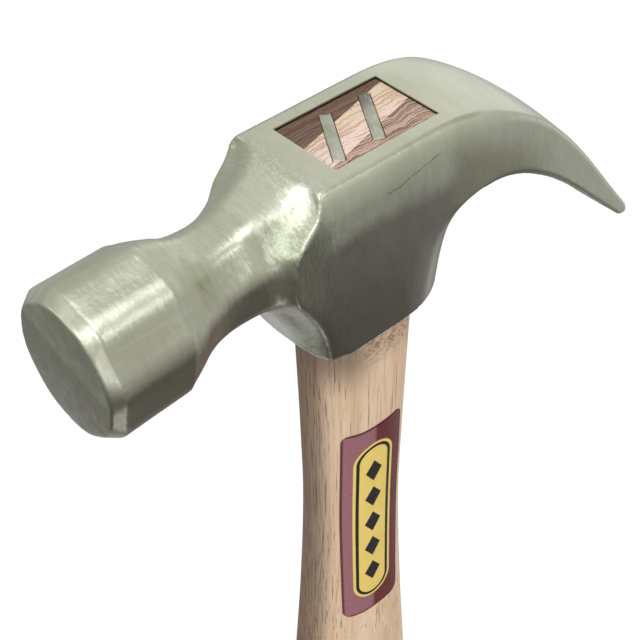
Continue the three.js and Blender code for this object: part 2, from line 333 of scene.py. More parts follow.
def axis_drop(reach):
    """How far the axis of the neck and bell lies below the crown, at a place along the head."""
    join = clamp((-reach - NECK_START) / (BELL_BACK - NECK_START))
    along_bell = max(0, (-reach - BELL_BACK) / (FACE_REACH - BELL_BACK))
    return mix(NECK_DROP, BELL_BACK_DROP, join) + (FACE_DROP - BELL_BACK_DROP) * along_bell


def eight_sided(angle, roundness):
    """How far a rounded octagon reaches at an angle, where its flats lie at a distance of 1."""
    off_flat = abs((angle + CORNER_TURN) % (2 * CORNER_TURN) - CORNER_TURN)
    if off_flat < math.atan((1 - roundness) * math.tan(CORNER_TURN)):
        return 1 / math.cos(off_flat)
    arc_centre = (1 - roundness) / math.cos(CORNER_TURN)
    off_corner = CORNER_TURN - off_flat
    aside = arc_centre * math.sin(off_corner)
    return arc_centre * math.cos(off_corner) + math.sqrt(roundness ** 2 - aside ** 2)


def read_off(table, value):
    """The second number of a table's rows at a first number between theirs, in metres."""
    for low, high in zip(table, table[1:]):
        if value <= high[0] * MM:
            return mix(low[1], high[1], clamp((value / MM - low[0]) / (high[0] - low[0]))) * MM
    return table[-1][1] * MM


def bell_and_neck_lag(reach, radius, rise, side):
    """How far back a point of the bell or neck lies, by its rise and side as shares of its radius."""
    if reach < -BELL_BACK:
        return BELL_LEAN * rise * radius / BELL_RADIUS * (reach + FACE_REACH) / (FACE_REACH - BELL_BACK)
    lean = BELL_LEAN * rise * ease(-reach, NECK_WAIST, BELL_BACK)
    if reach < -NECK_WAIST:
        return lean
    if rise > 0:
        lag = max(read_off(FLARE_TOP, radius) - reach, 0) * ease(rise, *FLARE_TOP_RISE)
    else:
        square = rise * rise
        corner = 4 * square * (1 - square)
        lag = FLARE_BOTTOM_LAG * square + FLARE_CORNER_LAG * corner
        lag *= ease(reach, -NECK_WAIST, -FLARE_START)
    lag += FLARE_FAR_LAG * max(0, side) ** 2 * ease(radius, *FLARE_FAR_GROWTH)
    return lag + lean


def axial_ring(reach, radius, roundness):
    """A ring of eight soft sides round the axis of the bell and neck."""
    ring = []
    turn = BELL_TURN * ease(-reach, FLARE_START, NECK_START)
    for step in range(RING_STEPS):
        angle = step / RING_STEPS * math.tau
        side, rise = math.cos(angle), math.sin(angle)
        out = radius * eight_sided(angle - turn, roundness)
        back = bell_and_neck_lag(reach, radius, rise, side)
        ring.append(Vector((reach + back, side * out, CROWN - axis_drop(reach) + rise * out)))
    return ring


def edge_step(row, band):
    """A row's depth and inset, from the claw's table where band is 0 to the body's where it is 1."""
    return [mix(claw, body, band) * MM for claw, body in zip(CLAW_EDGE[row], BODY_EDGE[row])]


def body_bounds():
    """The space between the cheeks, under the rounded crown, and wide open round the bell."""
    edge = [(CHEEK - inset * MM, depth * MM) for depth, inset in BODY_EDGE]
    outline = [(CHEEK, BODY_DEPTH), *reversed(edge), *((-half, drop) for half, drop in edge),
               (-CHEEK, BODY_DEPTH)]
    rings = []
    for reach, spread in ((-2 * FACE_REACH, 2), (-NECK_START, 2), (-NECK_START, 1), (FACE_REACH, 1)):
        rings.append([Vector((reach, side * spread, CROWN - BODY_CORE - (drop - BODY_CORE) * spread))
                      for side, drop in outline])
    return loft("body_bounds", rings)


def bell_and_neck():
    """The bell from its slightly domed face on, and the neck that flares out into the body."""
    rows = [(-FACE_REACH + FACE_CROWN * share ** 2, max(0.02, share) * (FACE_RADIUS - FACE_EDGE),
             FACE_ROUNDNESS) for share in (0, 0.25, 0.5, 0.7, 0.85, 1)]
    rows += [
        (-FACE_REACH + FACE_CROWN + FACE_EDGE, FACE_RADIUS, FACE_ROUNDNESS),
        (-FACE_REACH + CHAMFER_LENGTH, BELL_RADIUS, BELL_ROUNDNESS),
        (-BELL_BACK - BELL_BACK_EDGE, BELL_BACK_RADIUS, BELL_ROUNDNESS),
        (-BELL_BACK + BELL_BACK_EDGE, BELL_BACK_RADIUS - BELL_BACK_STEP, BELL_ROUNDNESS)]
    shoulder = SHOULDER_RADIUS - NECK_RADIUS
    flare = FLARE_RADIUS - NECK_RADIUS
    shoulder_shares = [(0.87, 0.84), (0.71, 0.6), (0.6, 0.41), (0.48, 0.24), (0.34, 0.1), (0.18, 0.02)]
    flare_shares = [
        (0, 0), (0.16, 0.003), (0.28, 0.012), (0.39, 0.033), (0.49, 0.07), (0.57, 0.116), (0.63, 0.17),
        (0.7, 0.242), (0.79, 0.336), (0.88, 0.44), (0.94, 0.545), (0.98, 0.68), (1, 1)]
    curve = [
        (-NECK_WAIST - (BELL_BACK - NECK_WAIST) * run, NECK_RADIUS + shoulder * rise,
         mix(NECK_ROUNDNESS, BELL_ROUNDNESS, run)) for run, rise in shoulder_shares]
    curve += [
        (-NECK_WAIST + (NECK_WAIST - FLARE_BACK) * run, NECK_RADIUS + flare * rise, NECK_ROUNDNESS)
        for run, rise in flare_shares]
    rows += [*flowing(curve, 4), (-BODY_CORE, FLARE_RADIUS, NECK_ROUNDNESS)]
    piece = loft("bell_and_neck", [axial_ring(*row) for row in rows])
    bounds = body_bounds()
    carve(piece, [bounds], "INTERSECT")
    discard([bounds])
    return piece


def post():
    """The body behind the flare, with a rounded back that spreads into the claw's underside."""
    level_shares = [1, 0.85, 0.72, 0.64, 0.57, 0.52, 0.48, 0.36]
    spread_shares = [0, 0.05, 0.13, 0.22, 0.38, 0.62, 0.9, 1]
    spread = CLAW_THROAT_REACH - COLLAR_BACK
    rings = []
    for level, share in flowing(list(zip(level_shares, spread_shares)), 4):
        back = COLLAR_BACK + spread * share
        height = CROWN - BODY_DEPTH * level
        around = oval_ring(2 * (back - COLLAR_ROUND_START), 2 * CHEEK, height, 2 + 2 * share, 80)
        arc = [point + Vector((COLLAR_ROUND_START, 0, 0)) for point in around[-20:] + around[:21]]
        rings.append([*arc, Vector((-BODY_CORE, CHEEK, height)), Vector((-BODY_CORE, -CHEEK, height))])
    return loft("post", rings)


def bezier(points, share):
    """The place on a cubic curve of four points."""
    rest = 1 - share
    weights = (rest ** 3, 3 * rest * rest * share, 3 * rest * share * share, share ** 3)
    return sum((Vector(point) * weight for point, weight in zip(points, weights)), Vector((0, 0)))


def claw_section(low, high):
    """One ring of the claw from its underside at low to its top at high, each a reach and a drop."""
    depth = (high - low).length
    fineness = min(1, depth / CLAW_ROOT_DEPTH)
    band = 1 - ease(high.x, CLAW_START, CROWN_BAND_REACH)
    low_bevel = CLAW_LOW_BEVEL * fineness * ease(low.x, CLAW_ROOT_REACH, CLAW_THROAT_REACH)
    low_depth = CLAW_LOW_BEVEL_DEPTH * fineness
    crown = CLAW_CROWN * fineness * (1 - band)
    side = [(CHEEK - low_bevel, 0), (CHEEK, low_depth)]
    for row in reversed(range(len(CLAW_EDGE))):
        below, inset = edge_step(row, band)
        side.append((CHEEK - inset * fineness, depth - below * fineness))
    flat = side[-1][0]
    steps = 10
    for step in range(1, steps):
        share = step / steps
        side.append((flat * (1 - share), depth + crown * (1 - (1 - share) ** 2)))
    ring = [*side, (0, depth + crown), *((-across, up) for across, up in reversed(side))]
    run, fall = high.x - low.x, low.y - high.y
    return [Vector((low.x + run * up / depth, across, CROWN - low.y + fall * up / depth))
            for across, up in ring]


def claw():
    """The two prongs, curved, tapered and rounded at their tips, and parted by the nail slot."""
    top = [(CLAW_START, 0), (CLAW_REACH * 0.515, 0), (CLAW_REACH * 0.695, CLAW_DROP * 0.466),
           (CLAW_REACH, CLAW_DROP)]
    underside = [
        (CLAW_ROOT_REACH, CLAW_ROOT_DEPTH), (CLAW_REACH * 0.536, CLAW_DROP * 0.386),
        (CLAW_REACH * 0.676, CLAW_DROP * 0.647),
        (CLAW_REACH - CLAW_TIP_DEPTH * 0.7, CLAW_DROP + CLAW_TIP_DEPTH * 0.5)]
    rings = [claw_section(Vector((-BODY_CORE, CLAW_ROOT_DEPTH)), Vector((-BODY_CORE, 0)))]
    for step in range(CLAW_STEPS + 1):
        share = step / CLAW_STEPS
        rings.append(claw_section(bezier(underside, share), bezier(top, share)))
    end, before = rings[-1], rings[-3]
    middle = sum(end, Vector()) / len(end)
    onward = (middle - sum(before, Vector()) / len(before)).normalized()
    outward = Vector((-onward.z, 0, onward.x))
    fullest = middle - outward * CLAW_TIP_LOW
    for angle in (0.3, 0.6, 0.9, 1.15, 1.35):
        away = onward * CLAW_TIP_ROUND * math.sin(angle)
        rings.append([point - outward * (point - fullest).dot(outward) * (1 - math.cos(angle)) + away
                      for point in end])
    for number, ring in enumerate(rings):
        share = ease(number, len(rings) / 2, len(rings) - 1)
        rings[number] = [point - onward * CLAW_TIP_SET_BACK * share for point in ring]
    piece = loft("claw", rings)
    slot = nail_slot()
    carve(piece, [slot])
    discard([slot])
    return piece


def nail_slot():
    """The wedge of air between the prongs, with a round root."""
    end = CLAW_REACH + OVERRUN
    outline = [(end, -SLOT_TIP_HALF), (end, SLOT_TIP_HALF), (SLOT_ROOT_REACH, SLOT_ROOT_HALF)]
    steps = 8
    for step in range(1, steps):
        angle = math.pi * step / steps
        outline.append((SLOT_ROOT_REACH - SLOT_ROOT_HALF * math.sin(angle),
                        SLOT_ROOT_HALF * math.cos(angle)))
    outline.append((SLOT_ROOT_REACH, -SLOT_ROOT_HALF))
    return loft("nail_slot", [
        [Vector((reach, side, height)) for reach, side in outline] for height in (0, CROWN + OVERRUN)])


def eye_block(name, gap, low, high):
    """A block that fills the eye, apart from a gap all round."""
    half = (EYE_LENGTH / 2 - gap, EYE_WIDTH / 2 - gap)
    return block(name, (EYE_SET_BACK - half[0], -half[1], low), (EYE_SET_BACK + half[0], half[1], high))


def soften(piece, passes, weigh):
    """Smooths a piece where a function of reach, side and drop in mm gives a weight."""
    piece.vertex_groups.new(name="soft")
    for vert in piece.data.vertices:
        weight = weigh(vert.co.x / MM, vert.co.y / MM, (CROWN - vert.co.z) / MM)
        if weight > 0.01:
            piece.vertex_groups["soft"].add([vert.index], weight, "REPLACE")
    modify(piece, "SMOOTH", factor=0.5, iterations=passes, vertex_group="soft")
    piece.vertex_groups.clear()


def collar_lip(reach, side, drop):
    """Where the collar's hollow front meets the cheeks."""
    return ease(abs(side), 9, 11.5) * ease(drop, 18, 23) * ease(-reach, 12, 15) * ease(-reach, 28, 25)


def far_crease(reach, side, drop):
    """Where the flare meets the far cheek."""
    along = ease(-reach, 15, 19) * ease(-reach, 32, 28)
    return along * ease(side, 5, 9) * ease(drop, 2, 5) * ease(drop, 36, 30)


def throat(reach, _, drop):
    """Where the back of the body runs out into the claw's underside."""
    return ease(reach, 13, 18) * ease(reach, 36, 30) * ease(drop, 9, 14) * ease(drop, 34, 28)


def head():
    """The solids of the head, grown together under one smooth skin and cut by the eye."""
    piece, *rest = [post(), claw(), bell_and_neck()]
    carve(piece, rest, "UNION")
    piece.name = "head_forging"
    modify(piece, "REMESH", mode="VOXEL", voxel_size=VOXEL, adaptivity=0)
    modify(piece, "SMOOTH", factor=0.5, iterations=SMOOTHING)
    soften(piece, 110, collar_lip)
    soften(piece, 30, throat)
    soften(piece, 140, far_crease)
    modify(piece, "DECIMATE", ratio=KEPT_SHARE)
    for vert, way in [(vert, vert.normal.copy()) for vert in piece.data.vertices]:
        swell = noise.noise(vert.co * BROAD_SWELLS) + 0.5 * noise.noise(vert.co * FINE_SWELLS)
        vert.co += way * swell * SWELL
    eye = eye_block("eye", 0, CROWN - BODY_DEPTH - OVERRUN, CROWN + OVERRUN)
    carve(piece, [eye])
    discard([eye, *rest])
    return smoothed(piece, 50)


# The handle, the wedges and the label


def handle_stations():
    """The shaft's height, length and width from the butt up to the collar."""
    rise = HANDLE_TOP - BUTT
    station_shares = [
        (0.06, 0, 0, 0), (0.14, 0.5, 0, 0), (0.24, 1, 0, 0), (0.38, 1, 0, 0), (0.48, 1, 0.08, 0),
        (0.58, 1, 0.34, 0), (0.7, 1, 0.76, 0), (0.8, 1, 1, 0), (0.87, 1, 1, 0.12), (0.94, 1, 1, 0.55),
        (1, 1, 1, 1)]
    rows = []
    for level, to_grip, to_waist, to_neck in station_shares:
        size = [mix(mix(mix(butt, grip, to_grip), waist, to_waist), top, to_neck)
                for butt, grip, waist, top in zip(BUTT_SIZE, GRIP_SIZE, WAIST_SIZE, NECK_SIZE)]
        rows.append((BUTT + rise * level, *size))
    return flowing(rows, 8)


STATIONS = handle_stations()


def shaft_size(height):
    """The shaft's length and width at a height."""
    for low, high in zip(STATIONS, STATIONS[1:]):
        if height <= high[0]:
            share = clamp((height - low[0]) / (high[0] - low[0]))
            return mix(low[1], high[1], share), mix(low[2], high[2], share)
    return STATIONS[-1][1:]


def wedge_solid(name, length, thickness, toe, depth, turn, reach, grow):
    """A wedge with its wide end up, level with the tenon's end, turned about Z.

    As the tool that cuts its own seat, it grows by a gap all round and runs on past its wide end.
    """
    top = CROWN - TENON_RECESS + (OVERRUN if grow else 0)
    steepness = (thickness - toe) / 2 / depth
    half_top = thickness / 2 + grow + (steepness * OVERRUN if grow else 0)
    half_toe = toe / 2 + grow
    bottom = CROWN - TENON_RECESS - depth - grow
    half = length / 2 + grow
    place = Matrix.Translation((reach, 0, 0)) @ Matrix.Rotation(turn, 4, "Z")
    rings = [
        [place @ Vector((x, y, height)) for x, y in (
            (-half, -across), (half, -across), (half, across), (-half, across))]
        for height, across in ((bottom, half_toe), (top, half_top))]
    return loft(name, rings)


def wood_wedge_solid(name, grow):
    return wedge_solid(name, 2 * EYE_LENGTH, WEDGE_THICKNESS, WEDGE_TOE, WEDGE_DEPTH, WEDGE_TURN,
                       EYE_SET_BACK, grow)


def pin_solid(name, reach, grow):
    return wedge_solid(name, PIN_LENGTH, PIN_THICKNESS, PIN_TOE, PIN_DEPTH, PIN_TURN, reach, grow)


def pin_slots():
    return [pin_solid("pin_slot", reach, PIN_GAP) for reach in PIN_REACHES.values()]


def handle():
    """The shaft with its rounded butt, and the tenon, cut for the wedges."""
    rings = []
    for level, inset in ((0, 1), (0.12, 0.62), (0.3, 0.42), (0.6, 0.2), (1, 0.06), (1.6, 0)):
        length, width = [size - 2 * BUTT_BEVEL * inset for size in BUTT_SIZE]
        rings.append(oval_ring(length, width, BUTT + BUTT_BEVEL * level, HANDLE_FULLNESS, OVAL_STEPS))
    for height, length, width in STATIONS:
        rings.append(oval_ring(length, width, height, HANDLE_FULLNESS, OVAL_STEPS))
    shaft = loft("shaft", rings)
    for vert in shaft.data.vertices:
        unevenness = noise.noise(Vector((vert.co.x, vert.co.y, vert.co.z * 0.2)) * 120)
        vert.co.xy *= 1 + 0.006 * unevenness
    tenon = eye_block("tenon", TENON_GAP, HANDLE_TOP - TENON_ROOT, CROWN - TENON_RECESS)
    carve(shaft, [tenon], "UNION")
    tools = [wood_wedge_solid("kerf", KERF_GAP), *pin_slots()]
    carve(shaft, tools)
    discard([tenon, *tools])
    shaft.name = "timber_handle"
    return smoothed(shaft, 35)


def wood_wedge():
    """The wooden wedge, trimmed to the eye and split by the steel wedges."""
    piece = wood_wedge_solid("timber_wedge", 0)
    room = eye_block("wedge_room", TENON_GAP, CROWN - BODY_DEPTH, CROWN)
    tools = pin_slots()
    carve(piece, [room], "INTERSECT")
    carve(piece, tools)
    discard([room, *tools])
    return piece


def steel_wedge(name, reach):
    """A strip of steel with eased edges."""
    piece = pin_solid(name, reach, 0)
    modify(piece, "BEVEL", width=PIN_BEVEL, segments=3, limit_method="ANGLE")
    piece.data.shade_smooth()
    return piece


def skin_distance(point, direction, height, lift):
    """How far along a level direction from a point inside the shaft its surface lies."""
    length, width = shaft_size(height)
    near, far = 0, 40 * MM
    for _ in range(40):
        middle = (near + far) / 2
        place = point + direction * middle
        reach = (abs(place.x) / (length / 2 + lift)) ** HANDLE_FULLNESS
        reach += (abs(place.y) / (width / 2 + lift)) ** HANDLE_FULLNESS
        near, far = (middle, far) if reach < 1 else (near, middle)
    return near


def label():
    """A sheet with round corners pressed onto the near side of the shaft."""
    bm = bmesh.new()
    columns, rows = 40, 120
    bmesh.ops.create_grid(bm, x_segments=columns, y_segments=rows, size=1)
    uv = bm.loops.layers.uv.new("UVMap")
    outward = Vector((math.sin(LABEL_TURN), -math.cos(LABEL_TURN), 0))
    across = Vector((math.cos(LABEL_TURN), math.sin(LABEL_TURN), 0))
    middle = CROWN - LABEL_TOP_DROP - LABEL_HALF_HEIGHT
    flat = {}
    for vert in bm.verts:
        share = math.copysign(1 - (1 - abs(vert.co.y)) ** 1.6, vert.co.y)
        up = share * LABEL_HALF_HEIGHT
        into_corner = clamp((abs(up) - LABEL_HALF_HEIGHT + LABEL_CORNER) / LABEL_CORNER)
        half = LABEL_HALF_WIDTH - LABEL_CORNER * (1 - math.sqrt(1 - into_corner ** 2))
        flat[vert] = (vert.co.x * half, up)
    for face in bm.faces:
        for loop in face.loops:
            side, up = flat[loop.vert]
            loop[uv].uv = (side / MM, up / MM)
    for vert, (side, up) in flat.items():
        start = across * side
        out = skin_distance(start, outward, middle + up, LABEL_LIFT)
        vert.co = start + outward * out + Vector((0, 0, middle + up))
    piece = to_piece(bm, "label_film")
    modify(piece, "SOLIDIFY", thickness=LABEL_THICKNESS, offset=1)
    return smoothed(piece, 40)


# Finishes


class Wire:
    """The output of a node, which takes part in sums as a number does."""

    def __init__(self, finish, socket):
        self.finish = finish
        self.socket = socket

    def sum_with(self, operation, *values):
        return self.finish.node("ShaderNodeMath", {"operation": operation}, dict(enumerate(values)))

    def __add__(self, other):
        return self.sum_with("ADD", self, other)

    def __radd__(self, other):
        return self.sum_with("ADD", other, self)

    def __sub__(self, other):
        return self.sum_with("SUBTRACT", self, other)

    def __rsub__(self, other):
        return self.sum_with("SUBTRACT", other, self)

    def __mul__(self, other):
        return self.sum_with("MULTIPLY", self, other)

    def __rmul__(self, other):
        return self.sum_with("MULTIPLY", other, self)

    def __truediv__(self, other):
        return self.sum_with("DIVIDE", self, other)

    def __pow__(self, other):
        return self.sum_with("POWER", self, other)

    def size(self):
        return self.sum_with("ABSOLUTE", self)

    def most(self, other):
        return self.sum_with("MAXIMUM", self, other)

    def fraction(self):
        return self.sum_with("FRACT", self)

    def rise(self, start, end):
        """Rises smoothly from 0 at start to 1 at end, or falls where start is the larger."""
        return self.finish.node("ShaderNodeMapRange", {"interpolation_type": "SMOOTHSTEP"}, {
            "Value": self, "From Min": start, "From Max": end, "To Min": 0.0, "To Max": 1.0})


class Finish:
    """The nodes of a new material or world."""

    def __init__(self, name, shelf=bpy.data.materials):
        self.owner = shelf.new(name)
        self.owner.use_nodes = True
        self.tree = self.owner.node_tree
        self.tree.nodes.clear()

    def node(self, kind, settings=None, inputs=None, output=0):
        node = self.tree.nodes.new(kind)
        for key, value in (settings or {}).items():
            if key == "stops":
                ramp = node.color_ramp
                while len(ramp.elements) < len(value):
                    ramp.elements.new(0.5)
                for element, (place, colour) in zip(ramp.elements, value):
                    element.position = place
                    element.color = (*colour, 1)
            else:
                setattr(node, key, value)
        for key, value in (inputs or {}).items():
            if isinstance(value, Wire):
                self.tree.links.new(value.socket, node.inputs[key])
            else:
                node.inputs[key].default_value = value
        return node if output is None else Wire(self, node.outputs[output])

    def place(self):
        return self.node("ShaderNodeTexCoord", output="Object")

    def film_place(self):
        return self.node("ShaderNodeTexCoord", output="UV")

    def axes(self, place):
        """The three numbers of a place or direction."""
        return [self.node("ShaderNodeSeparateXYZ", {}, {0: place}, axis) for axis in range(3)]

    def joined(self, x, y, z):
        return self.node("ShaderNodeCombineXYZ", {}, {0: x, 1: y, 2: z})

    def mapped(self, place, scale=(1, 1, 1), turn=0):
        """A place scaled along the axes and turned about Z."""
        return self.node("ShaderNodeMapping", {}, {
            "Vector": place, "Scale": scale, "Rotation": (0, 0, turn)})

    def cloud(self, place, scale, detail=3, rough=0.5):
        return self.node("ShaderNodeTexNoise", {}, {
            "Vector": place, "Scale": scale, "Detail": detail, "Roughness": rough})

    def leaning(self, place, scale, amount):
        """A vector that wanders round zero by an amount."""
        wandering = self.node("ShaderNodeTexNoise", {}, {"Vector": place, "Scale": scale, "Detail": 2}, 1)
        centred = self.vector("SUBTRACT", wandering, (0.5, 0.5, 0.5))
        return self.node("ShaderNodeVectorMath", {"operation": "SCALE"}, {0: centred, "Scale": amount})

    def cells(self, place, scale):
        return self.node("ShaderNodeTexVoronoi", {}, {"Vector": place, "Scale": scale})

    def blend(self, share, first, second):
        """The first colour, with the second over it as share rises from 0 to 1."""
        colour = [value if isinstance(value, Wire) else (*value, 1) for value in (first, second)]
        return self.node("ShaderNodeMix", {"data_type": "RGBA"}, {
            0: share, 6: colour[0], 7: colour[1]}, 2)

    def ramp(self, share, stops):
        """A grey that follows stops of share and brightness."""
        grey = [(place, (value, value, value)) for place, value in stops]
        return self.node("ShaderNodeValToRGB", {"stops": grey}, {0: share})

    def vector(self, operation, first, second, output=0):
        return self.node("ShaderNodeVectorMath", {"operation": operation}, {0: first, 1: second}, output)

    def bump(self, height, depth, below=None):
        inputs = {"Height": height, "Strength": 1.0, "Distance": depth}
        if below:
            inputs["Normal"] = below
        return self.node("ShaderNodeBump", {}, inputs)

    def surface(self, **inputs):
        shader = self.node("ShaderNodeBsdfPrincipled", {}, {
            key.replace("_", " "): value for key, value in inputs.items()})
        self.node("ShaderNodeOutputMaterial", {}, {"Surface": shader}, None)
        return self.owner


def forged_steel():
    """Ground and lacquered steel: fine scratches run round the neck and faintly down the cheeks."""
    f = Finish("lacquered_steel")
    place = f.place()
    x, y, z = f.axes(place)
    x, y, z = x / MM, y / MM, (z - CROWN) / MM
    skin = f.node("ShaderNodeNewGeometry", output=1)
    _, out_y, out_z = f.axes(skin)
    along = x + f.cloud(place, 60, 2) * 1.6
    strokes = f.cloud(f.joined(along * 3, y * 0.28, z * 0.28), 1, 3, 0.6)
    broad = f.cloud(f.joined(along * 0.7, y * 0.06, z * 0.06), 1, 3, 0.5)
    bands = f.cloud(f.joined(x * 0.03, y * 0.45, z * 0.45), 1, 2, 0.5)
    clouds = f.cloud(place, 55, 4, 0.55)
    patches = f.cloud(place, 150, 5, 0.6)
    ground = x.rise(-10, -19) * (x.rise(-50, -42) * 0.5 + 0.5)
    by_crown = x.rise(-25, -20) * x.rise(-14.5, -17) * z.rise(-14, -6)

    # The ground skin of the whole head
    olive = f.blend(clouds.rise(0.35, 0.65), (0.55, 0.57, 0.42), (0.63, 0.64, 0.5))
    toned = f.blend(broad.rise(0.35, 0.7) * 0.2, olive, (0.72, 0.74, 0.6))
    lined = f.blend(strokes.rise(0.3, 0.75) * (ground * 0.26 + 0.04), toned, (0.36, 0.37, 0.27))
    banded = f.blend(bands.rise(0.4, 0.6) * x.rise(-41, -47) * 0.34, lined, (0.4, 0.41, 0.3))
    specks = f.cells(place, 900).rise(0.16, 0.05) * patches.rise(0.6, 0.7)
    speckled = f.blend(specks * 0.3, banded, (0.16, 0.16, 0.12))

    # The rough skin of the flare, in front of the crown and below its ridge, with painted glints in front
    # of the crown
    # Painted glints: bright specks along the crown's front edge
    painted_glints = f.cloud(place, 1500, 2).rise(0.5, 0.62) * by_crown * z.rise(-2, -0.6)
    crown_front = f.blend(painted_glints * 0.35, speckled, (0.86, 0.88, 0.76))
    below_ridge = (z - y * 0.3).rise(-1, -4) * x.rise(-29, -24) * x.rise(-16, -17.5) * y.rise(-3, -6)
    moss = f.blend(f.cloud(place, 2300, 3).rise(0.44, 0.6), (0.32, 0.35, 0.235), (0.41, 0.44, 0.31))
    frosted = f.blend(below_ridge * 0.85, crown_front, moss)

    # Painted shade: the darker near cheek, the near side of the claw, the neck's flank and the crown's
    # edge
    # Painted shade on the near cheek only, darker lower down
    near_cheek_shade_mask = y.rise(-11.4, -12.3) * x.rise(-26, -20) * x.rise(16 + clouds * 10, 4 + clouds * 8)
    depth = z + (x + 2) * 0.02 + clouds * 7
    painted_side_shade = f.blend(near_cheek_shade_mask * depth.rise(-4, -9), frosted, (0.31, 0.285, 0.235))
    cheek = f.blend(near_cheek_shade_mask * depth.rise(-9, -30) * 0.65, painted_side_shade, (0.2, 0.172, 0.14))
    # Painted shade on the near side of the claw
    claw_side_shade_mask = y.rise(-11.8, -12.4) * x.rise(8, 15) * x.rise(46, 24) * (z + x * 0.45).rise(6, -4)
    claw_painted_shade = f.blend(claw_side_shade_mask * 0.85, cheek, (0.34, 0.33, 0.225))
    # Painted shade on the neck's surfaces that face down and towards the near side
    downward_shade_mask = out_z.rise(0.66, 0) * out_y.rise(0.1, -0.4) * x.rise(-16, -22)
    flank_painted_shade = f.blend(downward_shade_mask, claw_painted_shade, (0.335, 0.32, 0.245))
    # Painted shade along the crown's edge, where the skin turns down from the crown to the cheeks
    edge = out_y.size().rise(0.1, 0.25) * out_y.size().rise(0.75, 0.6) * z.rise(-1.8, -1.2)
    eased = f.blend(edge * x.rise(-17, -15) * x.rise(24, 14) * 0.5, flank_painted_shade, (0.33, 0.34, 0.26))

    # The scar on the near cheek: a dark line with a bright lip
    slope = z - x * 0.15 + (patches - 0.5) * 2.4
    scarred = x.rise(-5.3, -3.4) * x.rise(9, 7) * y.rise(-11, -12) * clouds.rise(0.36, 0.5)
    lip = (slope + 5.15).size().rise(0.3, 0.1) * scarred
    groove = (slope + 4.86).size().rise(0.24, 0.04) * scarred
    lipped = f.blend(lip * 0.3, eased, (0.66, 0.68, 0.54))
    scored = f.blend(groove * 0.6, lipped, (0.14, 0.13, 0.09))

    # The painted dark reflection on the lower half of the striking face, and painted shade on the wall of
    # the eye
    # Painted reflection: the face below a slanting line is painted darker
    low_face_reflection_mask = x.rise(-59.4, -59.8) * (z - y * 0.29 + 14).rise(0.8, -0.8)
    face_painted_reflection = f.blend(low_face_reflection_mask * 0.6, scored, (0.36, 0.35, 0.26))
    # Painted shade: the eye's wall below its top edge is painted nearly black
    in_eye = (x - EYE_SET_BACK / MM).size().rise(11.85, 11.75) * y.size().rise(7.8, 7.7)
    base = f.blend(in_eye * z.rise(-0.12, -0.45), face_painted_reflection, (0.07, 0.055, 0.04))

    rough = 0.27 + strokes * 0.12 + (clouds - 0.5) * 0.12 + in_eye * 0.4
    tilt = f.leaning(f.joined(along * 2.4, y * 0.5, z * 0.5), 1, ground * 0.22 + 0.03)
    bristle = f.leaning(place, 1700, by_crown * 0.14 + 0.02)
    tilted = f.vector("NORMALIZE", f.vector("ADD", f.vector("ADD", skin, tilt), bristle), (0, 0, 0))
    grind = f.bump((strokes + broad * 0.8) * (ground * 0.75 + 0.25), 0.00002, tilted)
    dents = f.bump(patches, 0.00015, grind)
    return f.surface(Base_Color=base, Metallic=1.0, Roughness=rough, Normal=dents)


def timber(name, colours, tenon_colours, lines_each_mm):
    """The finish of straight-grained timber with growth rings across Y, as far as its base colour.

    Also gives what its marks are laid by: the places x and z, how far the skin faces the front, how
    far it is end grain, and the patterns of its fibres and pores.
    """
    f = Finish(name)
    x, y, z = f.axes(f.place())
    x, y, z = x / MM, y / MM, (z - CROWN) / MM
    out_x, out_y, out_z = f.axes(f.node("ShaderNodeNewGeometry", output=1))
    end_grain = out_z.rise(0.5, 0.8)
    left = out_x.rise(0.1, -0.6) * out_y.rise(-0.8, 0.2)
    sway = f.cloud(f.joined(x * 0.05, y * 0.05, z * 0.009), 1, 3, 0.5) * 5
    ring = y + x * 0.1 + sway
    rings = f.cloud(f.joined(ring * lines_each_mm, x * 0.05, z * 0.006), 1, 3, 0.7)
    fibre = f.cloud(f.joined(x * 3.4, y * 3.4, z * 0.09), 1, 4, 0.65)
    wide = f.cloud(f.joined(x * 0.1, y * 0.1, z * 0.03), 1, 4, 0.5)
    vessels = f.cloud(f.joined(x * 3.1, y * 3.1, z * 0.075), 1, 2, 0.5)
    slits = vessels.rise(0.64 - left * 0.08, 0.7 - left * 0.07)

    pale, dark, pore = colours
    long = f.blend(rings.rise(0.42, 0.64) * 0.7, pale, dark)
    long = f.blend(fibre.rise(0.45, 0.75) * 0.5, long, dark)
    long = f.blend(wide.rise(0.35, 0.75) * 0.35, long, dark)
    streaks = f.cloud(f.joined(x * 2.3, y * 2.3, z * 0.028), 1, 3, 0.7).rise(0.55, 0.62)
    long = f.blend(streaks * (left * 0.5 + 0.12), long, pore)
    long = f.blend(slits * 0.7, long, pore)
    near, far, streak = tenon_colours
    wavy = y + f.cloud(f.joined(x * 0.22, y * 0.1, z * 0.05), 1, 3, 0.6) * 2.4
    lines = f.cloud(f.joined(wavy * lines_each_mm * 3.4, x * 0.07, z * 0.01), 1, 2, 0.5).rise(0.53, 0.61)
    hairs = f.cloud(f.joined(wavy * 7, x * 0.3, z * 0.01), 1, 3, 0.6).rise(0.5, 0.7)
    across = f.blend(y.rise(-3.5, 2.5), near, far)
    across = f.blend(hairs * 0.45, across, streak)
    across = f.blend(lines * 0.75, across, streak)
    base = f.blend(end_grain, long, across)
    return f, x, z, left, end_grain, base, fibre, slits.most(lines * end_grain)


